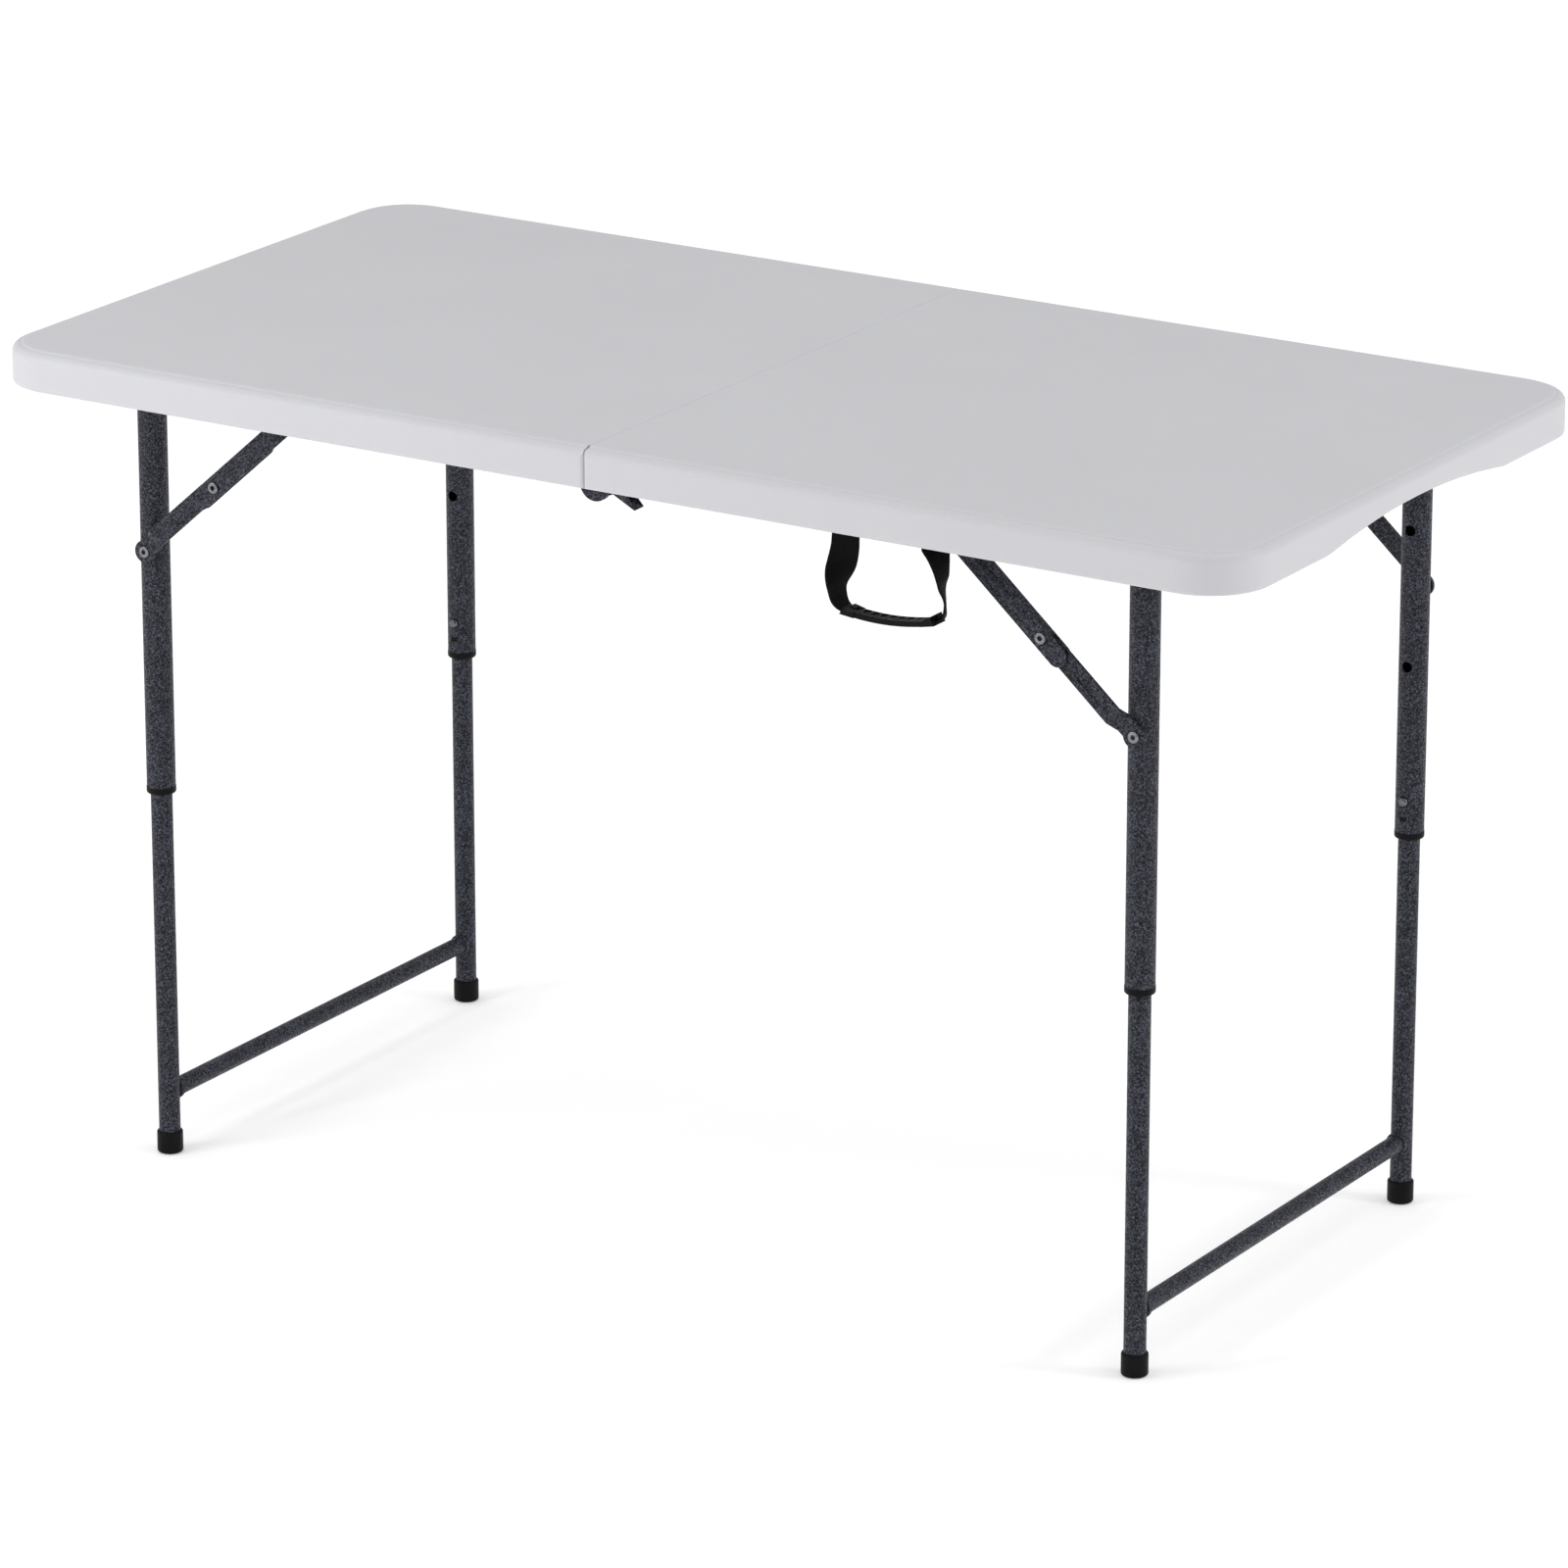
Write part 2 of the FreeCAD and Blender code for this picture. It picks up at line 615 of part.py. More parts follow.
def lower_link():
    """The strip of a brace, stepped in to the outer face of the leg."""
    t = BAR_T / 2
    j0, j1 = JOGGLE
    y0, y1 = -LINK_Y, -LEG_END_Y
    top = LINK_WIDE + 1
    end = LINK_LOWER + 12
    outer = [(-12, y0 - t, -top), (j0, y0 - t, -top), (j1, y1 - t, -top)]
    outer += [(end, y1 - t, -top), (end, y1 + t, -top), (j1 - 1, y1 + t, -top)]
    outer += [(j0 - 1, y0 + t, -top), (-12, y0 + t, -top)]
    strip = flat(outer, (0, 0, 2 * top))
    plan = stadium(0, LINK_LOWER, LINK_HALF, y0 - 4, y1 + 4)
    plan = plan.fuse(rod_y(LINK_LOWER, 0, LINK_END_R, y0 - 4, y1 + 4))
    rise = STEP_AT + 3
    edge = [(STEP_AT, y0 - 4, 0), (STEP_AT, y0 - 4, LINK_HALF), (rise, y0 - 4, LINK_WIDE)]
    edge += [(LINK_LOWER, y0 - 4, LINK_WIDE), (LINK_LOWER, y0 - 4, 0)]
    plan = plan.fuse(flat(edge, (0, y1 - y0 + 8, 0)))
    outside = rib(KNEE_PAST + 16, j0 - 6, -1.5, LOWER_RIB, y0 - t, -1)
    link = strip.common(plan).fuse(outside)
    link = link.cut(rod_y(0, 0, PIN_R, y0 - 4, y0 + 4))
    link = link.cut(rod_y(LINK_LOWER, 0, PIN_R, y1 - 4, y1 + 4))
    return place_link(link.removeSplitter())


def hollow_head(x, y, out):
    """A ring-shaped rivet head on the plane y, standing outwards."""
    y0 = min(y, y + out * RIVET_HEAD_H)
    head = rod_y(x, 0, RIVET_HEAD_R, y0, y0 + RIVET_HEAD_H)
    outer = [e for e in head.Edges if abs(e.CenterOfMass.y - y) > RIVET_HEAD_H / 2]
    outer = [e for e in outer if len(e.Vertexes) == 1]
    return head.makeFillet(0.7, outer)


def knee_rivet():
    y_out, y_in = -CHANNEL_Y[0], -CHANNEL_Y[1]
    gap = RUN
    shank = rod_y(0, 0, PIN_R, y_out - gap - 1, y_in + gap + 1)
    heads = [hollow_head(0, y_out - gap, -1), hollow_head(0, y_in + gap, 1)]
    rivet = shank.fuse(heads)
    bore = rod_y(0, 0, RIVET_HOLLOW_R, y_out - 5, y_out + 3)
    return place_link(rivet.cut(bore))


def leg_rivet():
    """The rivet at the leg. It stops a little short of the leg's face."""
    t = BAR_T / 2
    face = -LEG_END_Y - t
    shank = rod_y(LINK_LOWER, 0, PIN_R, face - 1, -LEG_END_Y + t)
    rivet = shank.fuse(hollow_head(LINK_LOWER, face, -1))
    bore = rod_y(LINK_LOWER, 0, RIVET_HOLLOW_R, face - 3, face + 1.6)
    return place_link(rivet.cut(bore))


save_corners("upper_brace_link", [upper_link()])
save_corners("lower_brace_link", [lower_link()])
save_corners("brace_rivets", [knee_rivet(), leg_rivet()])

# ---------------------------------------------------------------- the centre


def disc(y0, y1):
    return rod_y(0, BOTTOM, DISC_R, y0, y1)


def hinge_arm(y0, y1):
    """The arm of a right-hand hinge plate, along the outside of its rail."""
    z0 = RAIL_BOTTOM_Z
    points = [(2, y0, z0), (HINGE_ARM, y0, z0), (HINGE_ARM, y0, z0 + 18)]
    points += [(14, y0, z0 + 18), (2, y0, z0 + 8)]
    return flat(points, (0, y1 - y0, 0))


def right_plate():
    y0, y1 = -RAIL_Y - DISC_T, -RAIL_Y
    x, z = LATCH_PIVOT
    ear = rod_y(x, z, EAR_R, y0, y1)
    plate = disc(y0, y1).fuse([hinge_arm(y0, y1), ear]).removeSplitter()
    plate = plate.cut(rod_y(0, BOTTOM, HINGE_PIN_R, y0 - 1, y1 + 1))
    return plate.cut(rod_y(x, z, LATCH_PIN_R, y0 - 1, y1 + 1))


def left_plate():
    """The outer plate. Its arm steps in to reach the left rail."""
    y1 = -RAIL_Y - DISC_T - HINGE_GAP
    y0 = y1 - DISC_T
    arm = mirror_x(hinge_arm(y0, -RAIL_Y))
    arm = arm.cut(rod_y(0, BOTTOM, DISC_R + HINGE_GAP, y1, -RAIL_Y + 1))
    plate = disc(y0, y1).fuse(arm).removeSplitter()
    return plate.cut(rod_y(0, BOTTOM, HINGE_PIN_R + RUN, y0 - 1, y1 + 1))


def hinge_pin():
    y_left = -RAIL_Y - 2 * DISC_T - HINGE_GAP
    r, h = HINGE_HEAD
    y_out = y_left - HINGE_GAP
    pin = rod_y(0, BOTTOM, HINGE_PIN_R, y_out - 1, -RAIL_Y + 1)
    outer = rod_y(0, BOTTOM, r, y_out - h, y_out)
    inner = rod_y(0, BOTTOM, r, -RAIL_Y, -RAIL_Y + h)
    return pin.fuse([outer, inner])


def latch_lever():
    """A small channel on a pin. Its tail hangs below the apron to be pulled."""
    y0, y1 = -LATCH_Y[0], -LATCH_Y[1]
    h = LATCH_HALF
    body = box(-LATCH_BACK, LATCH_LEN, y0, y1, -h, h)
    slope = [(h, y0, h), (LATCH_LEN + 1, y0, h), (LATCH_LEN + 1, y0, -h + LATCH_LIP)]
    slope += [(LATCH_LEN, y0, -h + LATCH_LIP)]
    body = body.cut(flat(slope, (0, y1 - y0, 0)))
    ends = (-LATCH_BACK + SHEET, LATCH_LEN + 1)
    trough = box(ends[0], ends[1], y0 + SHEET, y1 - SHEET, -h + SHEET, h + 1)
    lever = body.cut(trough)
    lever = lever.cut(rod_y(0, 0, LATCH_PIN_R + RUN, y0 - 1, y1 + 1))
    lever.rotate(V(0, 0, 0), V(0, 1, 0), LATCH_DEG)
    lever.translate(V(LATCH_PIVOT[0], 0, LATCH_PIVOT[1]))
    return lever


def latch_pin():
    x, z = LATCH_PIVOT
    pin = rod_y(x, z, LATCH_PIN_R, -RAIL_Y - DISC_T, -LATCH_Y[1] + 1.4)
    inner = rod_y(x, z, 3.4, -LATCH_Y[1] + HINGE_GAP, -LATCH_Y[1] + 1.4)
    return pin.fuse(inner)


right = right_plate()
left = left_plate()
save("right_hinge_plates", [right, mirror_y(right)])
save("left_hinge_plates", [left, mirror_y(left)])
pins = [hinge_pin(), latch_pin()]
save("hinge_pins", [pins[0], mirror_y(pins[0])])
save("latch_pins", [pins[1], mirror_y(pins[1])])
lever = latch_lever()
save("front_latch_lever", [lever])
save("rear_latch_lever", [mirror_y(lever)])

# ---------------------------------------------------------------- the handle


def grip_points(z_shift):
    return [V(x, 0, z + z_shift) for x, z in GRIP_ARC]


def grip_z(x):
    """The height of the middle of the bowed grip."""
    arc = Part.Arc(*grip_points(0)).toShape().Curve
    return arc.Center.z - math.sqrt(arc.Radius**2 - (x - arc.Center.x) ** 2)


def bowed(width, z_low, z_high):
    """A bar bowed downwards like the grip, between two levels of its arc."""
    a0, a1, a2 = grip_points(z_low)
    b0, b1, b2 = grip_points(z_high)
    edges = [Part.Arc(a0, a1, a2).toShape(), Part.LineSegment(a2, b2).toShape()]
    edges += [Part.Arc(b2, b1, b0).toShape(), Part.LineSegment(b0, a0).toShape()]
    face = Part.Face(Part.Wire(edges))
    face.translate(V(0, HANDLE_Y - width / 2, 0))
    return face.extrude(V(0, width, 0))


def strap_side(i):
    """One hanging side of the strap, with the loop around its anchor."""
    x0 = STRAP_X[i]
    x1 = x0 + STRAP_W
    y0 = HANDLE_Y - STRAP_T / 2
    outline = [(x0, HANDLE_Z)] + (LEFT_SIDE, RIGHT_SIDE)[i] + [(x1, HANDLE_Z)]
    side = flat([(x, y0, z) for x, z in outline], (0, STRAP_T, 0))
    loop = rod_x(HANDLE_Y, HANDLE_Z, LOOP_R, x0, x1)
    side = side.fuse(loop)
    return side.cut(rod_x(HANDLE_Y, HANDLE_Z, ANCHOR_R + RUN, x0 - 1, x1 + 1))


def strap():
    """The webbing: two hanging sides and the run inside the grip."""
    run = bowed(GRIP_CORE_W, -STRAP_T / 2, STRAP_T / 2)
    return run.fuse([strap_side(0), strap_side(1)]).removeSplitter()


def flare(x_end, x_in, lip):
    """The raised lip at one end of the grip."""
    t = GRIP_T / 2
    x_lip = x_end + 0.3 * (x_in - x_end)
    points = [(x_in, grip_z(x_in) + t - 0.3), (x_lip, grip_z(x_lip) + t + lip)]
    points += [(x_end, grip_z(x_end) - t), (x_in, grip_z(x_in) - t + 0.3)]
    y0 = HANDLE_Y - GRIP_W / 2 - 0.8
    return flat([(x, y0, z) for x, z in points], (0, GRIP_W + 1.6, 0))


def grip(core):
    """The moulded grip around the strap, with pockets across its top."""
    body = bowed(GRIP_W, -GRIP_T / 2, GRIP_T / 2)
    x0, x1 = GRIP_ARC[0][0], GRIP_ARC[2][0]
    long_edges = [e for e in body.Edges if e.Length > (x1 - x0) / 2]
    body = body.makeFillet(1.5, long_edges)
    ends = [flare(x0 - FLARE_OUT, x0 + FLARE, FLARE_LIPS[0])]
    ends.append(flare(x1 + FLARE_OUT, x1 - FLARE, FLARE_LIPS[1]))
    body = body.fuse(ends)
    first = (x0 + x1) / 2 - POCKET_PITCH * (GRIP_POCKETS - 1) / 2
    for i in range(GRIP_POCKETS):
        x = first + i * POCKET_PITCH
        z = grip_z(x) + GRIP_T / 2
        y = HANDLE_Y - 1
        half = POCKET_HALF
        low = z - POCKET_DEPTH
        body = body.cut(box(x - half, x + half, y, y + GRIP_W / 2 - 1, low, z + 4))
    return body.cut(core)


def anchor(i):
    """The steel staple that a strap loop hangs on."""
    x0 = STRAP_X[i] - RUN * 5
    x1 = STRAP_X[i] + STRAP_W + RUN * 5
    y0, y1 = HANDLE_Y - ANCHOR_HALF_Y, HANDLE_Y + ANCHOR_HALF_Y
    z0 = HANDLE_Z - 4
    bar = rod_x(HANDLE_Y, HANDLE_Z, ANCHOR_R, x0, x1)
    ears = [box(x0 - ANCHOR_EAR, x0, y0, y1, z0, CEILING)]
    ears.append(box(x1, x1 + ANCHOR_EAR, y0, y1, z0, CEILING))
    base = box(x0, x1, y0, y1, CEILING - ANCHOR_EAR, CEILING)
    staple = bar.fuse(ears + [base])
    x = anchor_middle(i)
    return staple.cut(rod_z(x, HANDLE_Y, ANCHOR_SCREW_R + FIT, CEILING - 4, CEILING + 1))


def anchor_screw(i):
    x = anchor_middle(i)
    z0 = CEILING - ANCHOR_EAR
    shank = rod_z(x, HANDLE_Y, ANCHOR_SCREW_R, z0, CEILING + 4.5)
    head = rod_z(x, HANDLE_Y, ANCHOR_HEAD[0], z0 - ANCHOR_HEAD[1], z0)
    return shank.fuse(head)


webbing = strap()
save("handle_strap", [webbing])
save("handle_grip", [grip(webbing)])
save("handle_anchors", [anchor(0), anchor(1)])
save("handle_screws", [anchor_screw(0), anchor_screw(1)])
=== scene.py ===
import json
import math

import bpy
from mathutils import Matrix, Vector


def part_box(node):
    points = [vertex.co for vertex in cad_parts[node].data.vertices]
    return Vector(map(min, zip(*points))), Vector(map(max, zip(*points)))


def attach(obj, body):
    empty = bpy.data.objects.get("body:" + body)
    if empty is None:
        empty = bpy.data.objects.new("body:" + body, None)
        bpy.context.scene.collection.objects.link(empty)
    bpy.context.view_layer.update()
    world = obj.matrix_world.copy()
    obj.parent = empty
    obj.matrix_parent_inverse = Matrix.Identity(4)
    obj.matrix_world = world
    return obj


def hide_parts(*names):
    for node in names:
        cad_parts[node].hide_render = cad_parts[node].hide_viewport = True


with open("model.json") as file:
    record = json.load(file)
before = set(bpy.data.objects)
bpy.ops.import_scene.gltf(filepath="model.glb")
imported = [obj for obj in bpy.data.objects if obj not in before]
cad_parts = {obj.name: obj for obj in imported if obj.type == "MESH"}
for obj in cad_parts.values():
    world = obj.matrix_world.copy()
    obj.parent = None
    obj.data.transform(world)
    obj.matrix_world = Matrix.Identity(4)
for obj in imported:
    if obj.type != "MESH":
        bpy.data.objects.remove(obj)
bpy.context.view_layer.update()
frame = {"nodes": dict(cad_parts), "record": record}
NODES = frame["nodes"]
SCENE = bpy.context.scene


# ------------------------------------------------------------------ the camera

CAMERA_AT = (3.565, -5.708, 2.581)
# Degrees down from level, and degrees of turn away from the y axis.
CAMERA_PITCH = 18.26
CAMERA_TURN = 31.96
LENS_MM = 188.8
SENSOR_MM = 36.0
FAR_CLIP = 1000.0


def make_camera():
    data = bpy.data.cameras.new("camera")
    data.sensor_width = SENSOR_MM
    data.lens = LENS_MM
    data.clip_end = FAR_CLIP
    camera = bpy.data.objects.new("camera", data)
    camera.location = CAMERA_AT
    camera.rotation_euler = (
        math.radians(90 - CAMERA_PITCH), 0, math.radians(CAMERA_TURN))
    SCENE.collection.objects.link(camera)
    SCENE.camera = camera


# ------------------------------------------------------------------- materials

# Each stop: a place on the ramp, then linear red, green and blue.
WHITE_STOPS = [(0.30, (0.588, 0.586, 0.612)), (0.70, (0.612, 0.610, 0.636))]
HAMMERED_STOPS = [
    (0.42, (0.003, 0.003, 0.004)), (0.48, (0.008, 0.009, 0.011)),
    (0.52, (0.032, 0.034, 0.047)), (0.66, (0.090, 0.097, 0.134))]
BLACK_STOPS = [(0.30, (0.0030, 0.0030, 0.0032)), (0.75, (0.0055, 0.0055, 0.0058))]
WEBBING_STOPS = [(0.15, (0.0020, 0.0020, 0.0020)), (0.85, (0.0075, 0.0075, 0.0080))]
PLATED_STOPS = [(0.3, (0.085, 0.088, 0.098)), (0.7, (0.16, 0.165, 0.18))]
RIVET_STOPS = [(0.3, (0.15, 0.155, 0.165)), (0.7, (0.27, 0.275, 0.29))]
FLOOR_STOPS = [(0.3, (0.93, 0.93, 0.93)), (0.7, (0.95, 0.95, 0.95))]
NEW_STOP_AT = 0.5


def fill_ramp(node, stops):
    """Puts the stops into a colour ramp, which starts with two of its own."""
    elements = node.color_ramp.elements
    while len(elements) < len(stops):
        elements.new(NEW_STOP_AT)
    for i, (at, colour) in enumerate(stops):
        elements[i].position = at
        elements[i].color = (*colour, 1)


class Nodes:
    """A short way to write one material's node tree."""

    def __init__(self, name):
        self.material = bpy.data.materials.new(name)
        self.material.use_nodes = True
        self.tree = self.material.node_tree
        self.shader = self.tree.nodes["Principled BSDF"]
        self.place = self.tree.nodes.new("ShaderNodeTexCoord").outputs["Object"]

    def link(self, a, b):
        self.tree.links.new(a, b)

    def set(self, **values):
        for key, value in values.items():
            self.shader.inputs[key.replace("_", " ")].default_value = value

    def noise(self, scale, detail=2.0, rough=0.5, distortion=0.0):
        n = self.tree.nodes.new("ShaderNodeTexNoise")
        n.inputs["Scale"].default_value = scale
        n.inputs["Detail"].default_value = detail
        n.inputs["Roughness"].default_value = rough
        n.inputs["Distortion"].default_value = distortion
        self.link(self.place, n.inputs["Vector"])
        return n.outputs["Fac"]

    def wave(self, scale, direction):
        n = self.tree.nodes.new("ShaderNodeTexWave")
        n.bands_direction = direction
        n.inputs["Scale"].default_value = scale
        self.link(self.place, n.inputs["Vector"])
        return n.outputs["Fac"]

    def ramp(self, value, stops):
        n = self.tree.nodes.new("ShaderNodeValToRGB")
        fill_ramp(n, stops)
        self.link(value, n.inputs["Fac"])
        return n.outputs["Color"]

    def range(self, value, low, high, from_low=0.0, from_high=1.0):
        """Turns from_low into low and from_high into high."""
        n = self.tree.nodes.new("ShaderNodeMapRange")
        n.inputs["From Min"].default_value = from_low
        n.inputs["From Max"].default_value = from_high
        n.inputs["To Min"].default_value = low
        n.inputs["To Max"].default_value = high
        self.link(value, n.inputs["Value"])
        return n.outputs["Result"]

    def math(self, op, a, b):
        n = self.tree.nodes.new("ShaderNodeMath")
        n.operation = op
        for i, v in enumerate((a, b)):
            if isinstance(v, (int, float)):
                n.inputs[i].default_value = v
            else:
                self.link(v, n.inputs[i])
        return n.outputs["Value"]

    def blend(self, a, b, share):
        """A share of a, and the rest of b."""
        part_a = self.math("MULTIPLY", a, share)
        part_b = self.math("MULTIPLY", b, 1 - share)
        return self.math("ADD", part_a, part_b)

    def bump(self, height, strength, distance):
        n = self.tree.nodes.new("ShaderNodeBump")
        n.inputs["Strength"].default_value = strength
        n.inputs["Distance"].default_value = distance
        self.link(height, n.inputs["Height"])
        return n.outputs["Normal"]

    def colour_in(self, out):
        self.link(out, self.shader.inputs["Base Color"])

    def rough_in(self, out):
        self.link(out, self.shader.inputs["Roughness"])

    def normal_in(self, out):
        self.link(out, self.shader.inputs["Normal"])


def top_plastic():
    """White blow-moulded polyethylene: a fine grain and faint clouding."""
    m = Nodes("white_moulded_plastic")
    m.set(Specular_IOR_Level=0.35, Subsurface_Weight=0.05, Subsurface_Scale=0.008)
    cloud = m.noise(7.0, detail=3.0)
    grain = m.noise(620.0, detail=3.0, rough=0.6)
    m.colour_in(m.ramp(m.blend(cloud, grain, 0.5), WHITE_STOPS))
    m.rough_in(m.range(m.noise(60.0, detail=3.0), 0.44, 0.54))
    m.normal_in(m.bump(grain, strength=0.25, distance=0.00016))
    return m.material


def hammered_steel():
    """Hammered powder coat: pale blue-grey flecks between black worms."""
    m = Nodes("hammered_blue_grey_paint")
    m.set(Metallic=0.0, Specular_IOR_Level=0.20)
    worm = m.noise(640.0, detail=2.5, rough=0.55, distortion=1.1)
    patch = m.noise(45.0)
    mixed = m.math("ADD", worm, m.range(patch, -0.03, 0.03))
    m.colour_in(m.ramp(mixed, HAMMERED_STOPS))
    m.rough_in(m.range(mixed, 0.60, 0.28, from_low=0.40, from_high=0.62))
    m.normal_in(m.bump(mixed, strength=0.55, distance=0.0007))
    return m.material


def black_plastic():
    """Black moulded plastic with a fine grain."""
    m = Nodes("black_moulded_plastic")
    m.set(Specular_IOR_Level=0.10)
    grain = m.noise(1100.0)
    m.colour_in(m.ramp(m.noise(70.0, detail=3.0), BLACK_STOPS))
    m.rough_in(m.range(m.noise(160.0), 0.38, 0.55))
    m.normal_in(m.bump(grain, strength=0.25, distance=0.0001))
    return m.material


def webbing():
    """Woven black webbing: fine level ribs, crossed by diagonal ones."""
    m = Nodes("black_webbing")
    m.set(Sheen_Weight=0.03, Specular_IOR_Level=0.06)
    ribs = m.wave(330.0, "Z")
    warp = m.wave(260.0, "DIAGONAL")
    weave = m.math("MULTIPLY", ribs, m.range(warp, 0.4, 1.0))
    fuzz = m.noise(1800.0, detail=3.0)
    m.colour_in(m.ramp(m.blend(weave, fuzz, 0.6), WEBBING_STOPS))
    m.rough_in(m.range(fuzz, 0.72, 0.92))
    m.normal_in(m.bump(weave, strength=0.6, distance=0.0003))
    return m.material


def plated_steel(name, stops):
    """Plated steel between two greys. It catches small highlights."""
    m = Nodes(name)
    m.set(Metallic=1.0)
    m.colour_in(m.ramp(m.noise(300.0, detail=3.0), stops))
    m.rough_in(m.range(m.noise(700.0, detail=3.0), 0.16, 0.34))
    m.normal_in(m.bump(m.noise(900.0), strength=0.15, distance=0.0001))
    return m.material


def paint_nodes():
    """Gives every CAD node the finish of its slot. The brace rivets are brighter."""
    made = {
        "top_plastic": top_plastic(),
        "hammered_steel": hammered_steel(),
        "black_plastic": black_plastic(),
        "webbing": webbing(),
        "bright_steel": plated_steel("dark_plated_steel", PLATED_STOPS)}
    rivet = plated_steel("bright_rivet_steel", RIVET_STOPS)
    slots = {part["node"]: part["material_slot"] for part in frame["record"]["subparts"]}
    for name, obj in NODES.items():
        finish = rivet if "brace_rivets" in name else made[slots[name]]
        obj.data.materials.clear()
        obj.data.materials.append(finish)
    return made


# -------------------------------------------------------------------- the strap

STRAP_HALF = 0.0125
STRAP_THICK = 0.0018
STEPS_PER_ROW = 8
SPANS_ACROSS = 6
CRISP_DEGREES = 50
# Each row: parts of the length and height of the CAD strap's box, metres towards
# +y from its middle, degrees of turn about the upright, and part of the half width.
STRAP_LEFT = [
    (0.133, 0.90, 0.0026, 0, 1.0), (0.133, 0.955, 0.0032, 0, 1.0),
    (0.133, 0.985, 0.0, 0, 1.0), (0.133, 0.955, -0.0032, 0, 1.0),
    (0.133, 0.905, -0.0018, 0, 1.0), (0.133, 0.86, -0.0003, 0, 1.0),
    (0.128, 0.76, 0.0, 2, 1.0), (0.123, 0.664, 0.0, 6, 1.0),
    (0.103, 0.535, 0.0, 20, 1.0), (0.079, 0.412, 0.0, 50, 1.0),
    (0.058, 0.257, 0.0, 84, 1.0), (0.075, 0.136, 0.0, 90, 0.92),
    (0.120, 0.066, 0.0, 90, 0.72), (0.20, 0.036, 0.0, 90, 0.50)]
STRAP_RUN = [
    (0.30, 0.020, 0.0, 90, 0.48), (0.42, 0.011, 0.0, 90, 0.48),
    (0.60, 0.023, 0.0, 90, 0.48)]
STRAP_RIGHT = [
    (0.80, 0.060, 0.0, 90, 0.48), (0.90, 0.088, 0.0, 94, 0.52),
    (0.945, 0.125, 0.0, 106, 0.62), (0.957, 0.203, 0.0, 116, 0.80),
    (0.960, 0.297, 0.0, 120, 0.90), (0.952, 0.366, 0.0, 118, 0.95),
    (0.940, 0.44, 0.0, 109, 1.0), (0.940, 0.52, 0.0, 100, 1.0),
    (0.923, 0.647, 0.0, 89, 1.0), (0.896, 0.766, 0.0, 68, 1.0),
    (0.889, 0.82, -0.0001, 12, 1.0), (0.885, 0.86, -0.0003, 0, 1.0),
    (0.884, 0.905, -0.0018, 0, 1.0), (0.884, 0.955, -0.0032, 0, 1.0),
    (0.884, 0.985, 0.0, 0, 1.0), (0.884, 0.955, 0.0032, 0, 1.0),
    (0.884, 0.90, 0.0026, 0, 1.0)]


class Spot:
    """Places in the box of a CAD node, in parts of its length and height."""

    def __init__(self, node):
        low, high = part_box(node)
        self.low = Vector(low)
        self.high = Vector(high)
        self.mid_y = (self.low.y + self.high.y) / 2

    def at(self, along, up, out):
        x = self.low.x + along * (self.high.x - self.low.x)
        z = self.low.z + up * (self.high.z - self.low.z)
        return Vector((x, self.mid_y + out, z))


def smooth(rows, steps):
    """A Catmull-Rom curve through rows of numbers."""
    made = []
    ends = [rows[0]] + rows + [rows[-1]]
    for i in range(1, len(ends) - 2):
        a, b, c, d = ends[i - 1:i + 3]
        for k in range(steps):
            t = k / steps
            row = []
            for p, q, r, s in zip(a, b, c, d):
                row.append(0.5 * (2 * q + (r - p) * t + (2 * p - 5 * q + 4 * r - s) * t**2
                                  + (3 * q - p - 3 * r + s) * t**3))
            made.append(row)
    made.append(rows[-1])
    return made


def ribbon(name, rows, thickness, material):
    """A flat strip along rows of x, y, z, turn in degrees and half width."""
    mesh = bpy.data.meshes.new(name)
    points = []
    rows = smooth(rows, STEPS_PER_ROW)
    for i, row in enumerate(rows):
        here = Vector(row[:3])
        before = Vector(rows[max(i - 1, 0)][:3])
        after = Vector(rows[min(i + 1, len(rows) - 1)][:3])
        turn = math.radians(row[3])
        wide = Vector((math.cos(turn), math.sin(turn), 0))
        face = (after - before).cross(wide).normalized() * thickness / 2
        for side in (1, -1):
            for k in range(SPANS_ACROSS + 1):
                u = (2 * k / SPANS_ACROSS - 1) * side
                points.append(here + wide * row[4] * u + face * side)
    ring = 2 * (SPANS_ACROSS + 1)
    faces = []
    for i in range(len(rows) - 1):
        for k in range(ring):
            a = i * ring + k
            b = i * ring + (k + 1) % ring
            faces.append((a, b, b + ring, a + ring))
    last = (len(rows) - 1) * ring
    faces.append(tuple(reversed(range(ring))))
    faces.append(tuple(range(last, last + ring)))
    mesh.from_pydata(points, [], faces)
    for polygon in mesh.polygons:
        polygon.use_smooth = True
    mesh.materials.append(material)
    piece = bpy.data.objects.new(name, mesh)
    SCENE.collection.objects.link(piece)
    crisp = piece.modifiers.new("crisp edges", "EDGE_SPLIT")
    crisp.split_angle = math.radians(CRISP_DEGREES)
    return piece


def make_strap(material):
    """The carrying strap: it hangs flat, then twists to lie in the grip."""
    spot = Spot("handle_strap")
    rows = []
    for along, up, out, turn, part in STRAP_LEFT + STRAP_RUN + STRAP_RIGHT:
        rows.append([*spot.at(along, up, out), turn, part * STRAP_HALF])
    piece = ribbon("handle_webbing", rows, STRAP_THICK, material)
    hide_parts("handle_strap")
    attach(piece, "handle")


# ------------------------------------------------------------ floor and lights

FLOOR_HALF = 400.0
FLOOR_Z = -0.0005
FLOOR_GLOW = 0.235
SKY_STRENGTH = 1.13
# Each row: height above the horizon, from 0 to 1, and brightness.
SKY_ROWS = [(0.0, 1.0), (0.05, 1.0), (0.09, 0.25), (1.0, 1.0)]
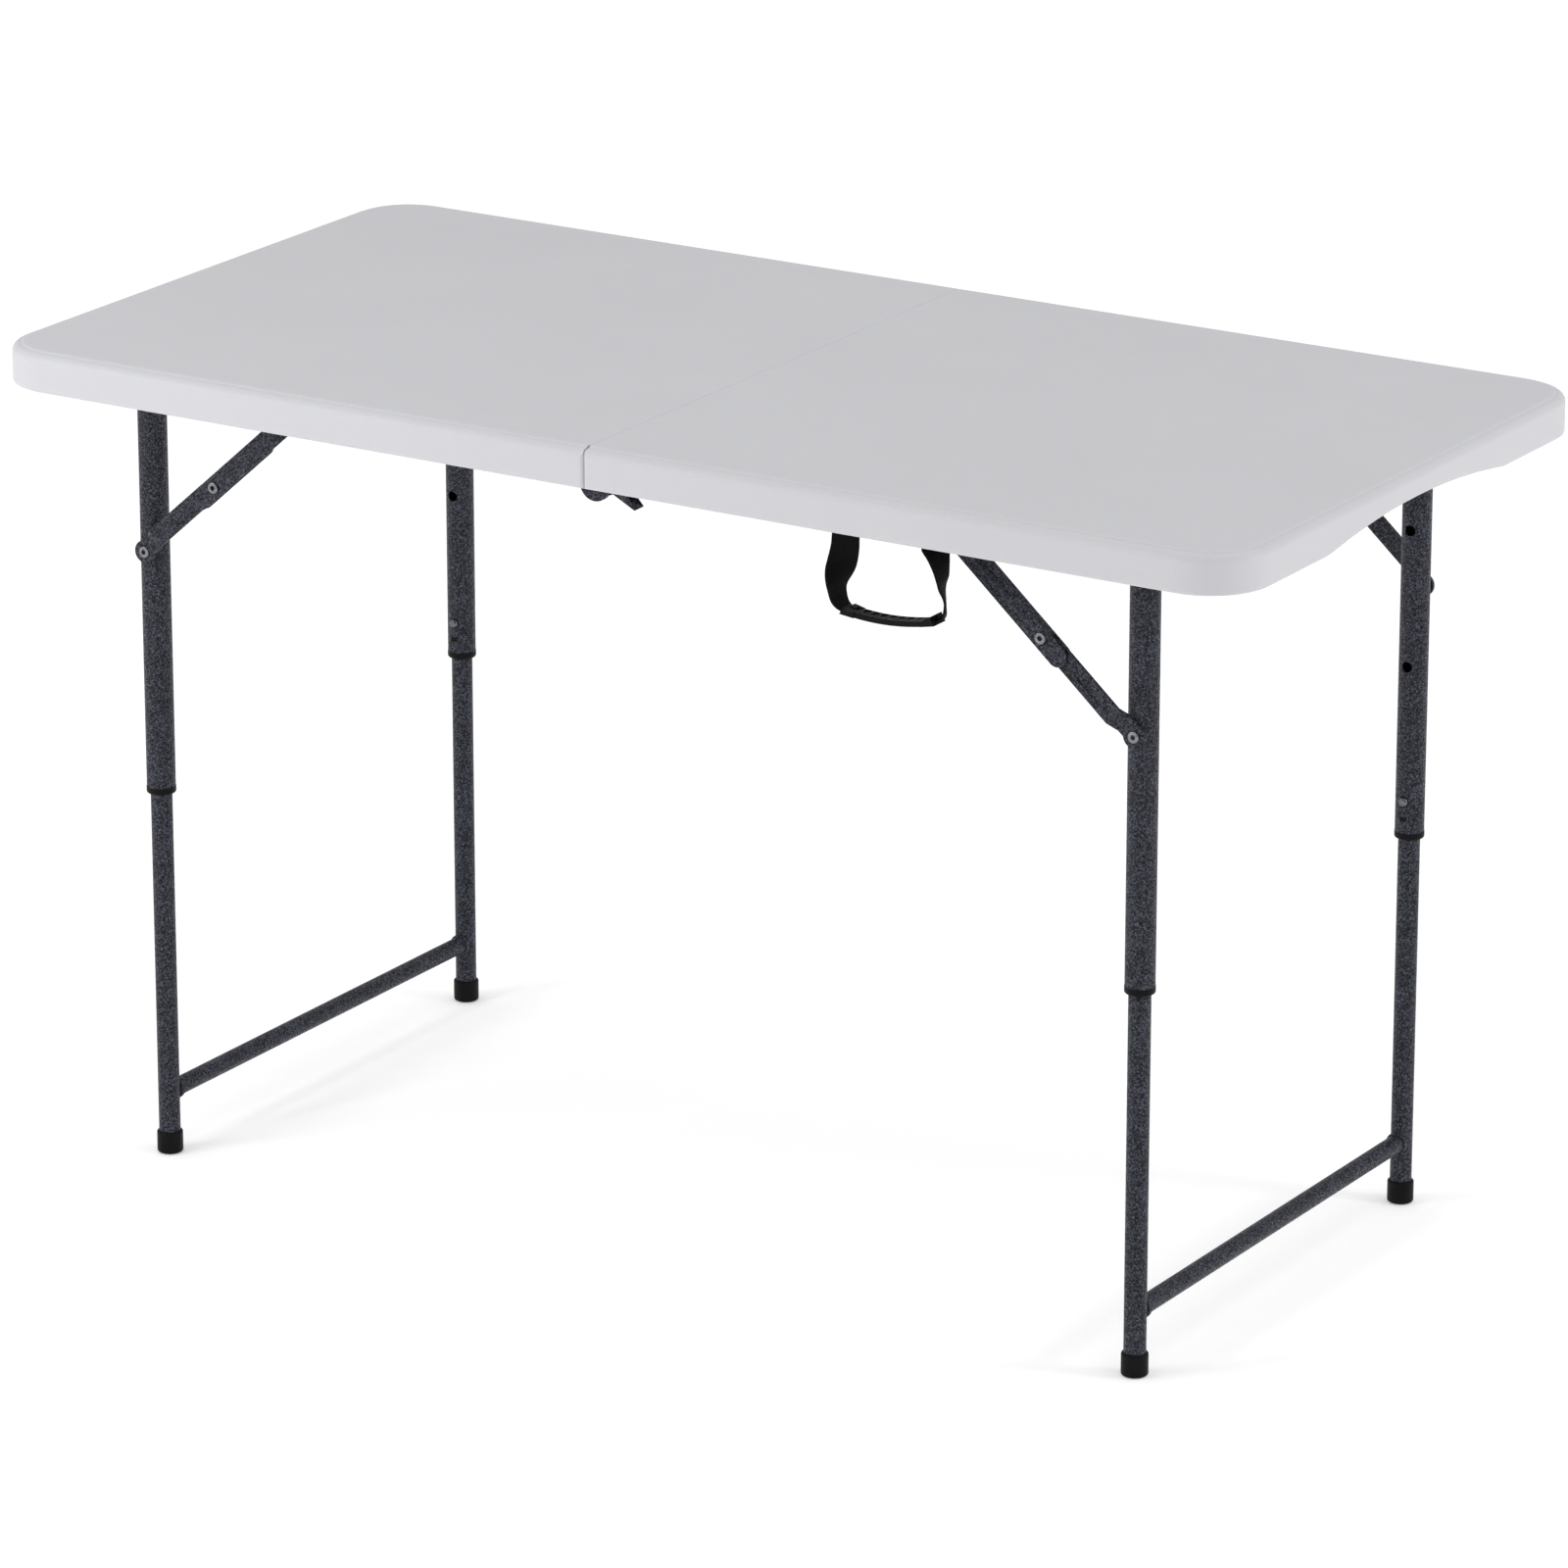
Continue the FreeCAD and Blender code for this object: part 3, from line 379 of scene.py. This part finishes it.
# Each row: name, place, target, diameter in metres and power in watts.
LIGHTS = [
    ("key", (-1.6, -1.9, 1.25), (-0.2, 0, 0.6), 0.8, 12.0),
    ("side", (3.2, 0.9, 1.9), (0.3, 0, 0.6), 0.8, 20.0),
    ("glint", (-0.97, -1.86, 2.03), (0.3, -0.25, 0.6), 0.25, 4.0)]


def make_stage():
    """A wide white floor just under the feet, with a faint glow of its own."""
    mesh = bpy.data.meshes.new("floor")
    corners = []
    for x, y in ((-1, -1), (1, -1), (1, 1), (-1, 1)):
        corners.append((x * FLOOR_HALF, y * FLOOR_HALF, FLOOR_Z))
    mesh.from_pydata(corners, [], [(0, 1, 2, 3)])
    floor = bpy.data.objects.new("floor", mesh)
    SCENE.collection.objects.link(floor)
    m = Nodes("white_floor")
    m.set(Roughness=0.9, Specular_IOR_Level=0.0)
    m.set(Emission_Color=(1, 1, 1, 1), Emission_Strength=FLOOR_GLOW)
    m.colour_in(m.ramp(m.noise(0.8), FLOOR_STOPS))
    mesh.materials.append(m.material)


def area_light(name, at, target, size, power):
    data = bpy.data.lights.new(name, "AREA")
    data.shape = "DISK"
    data.size = size
    data.energy = power
    light = bpy.data.objects.new(name, data)
    light.location = at
    aim = Vector(target) - Vector(at)
    light.rotation_euler = aim.to_track_quat("-Z", "Y").to_euler()
    light.visible_camera = False
    SCENE.collection.objects.link(light)


def make_sky():
    """A white studio: white overhead and at the horizon, darker just above it."""
    world = bpy.data.worlds.new("studio")
    world.use_nodes = True
    tree = world.node_tree
    place = tree.nodes.new("ShaderNodeTexCoord")
    split = tree.nodes.new("ShaderNodeSeparateXYZ")
    ramp = tree.nodes.new("ShaderNodeValToRGB")
    tree.links.new(place.outputs["Generated"], split.inputs["Vector"])
    tree.links.new(split.outputs["Z"], ramp.inputs["Fac"])
    fill_ramp(ramp, [(height, (level, level, level)) for height, level in SKY_ROWS])
    background = tree.nodes["Background"]
    tree.links.new(ramp.outputs["Color"], background.inputs["Color"])
    background.inputs["Strength"].default_value = SKY_STRENGTH
    SCENE.world = world


def make_light():
    make_sky()
    for row in LIGHTS:
        area_light(*row)
    SCENE.view_settings.view_transform = "Standard"


make_camera()
finishes = paint_nodes()
make_strap(finishes["webbing"])
make_stage()
make_light()
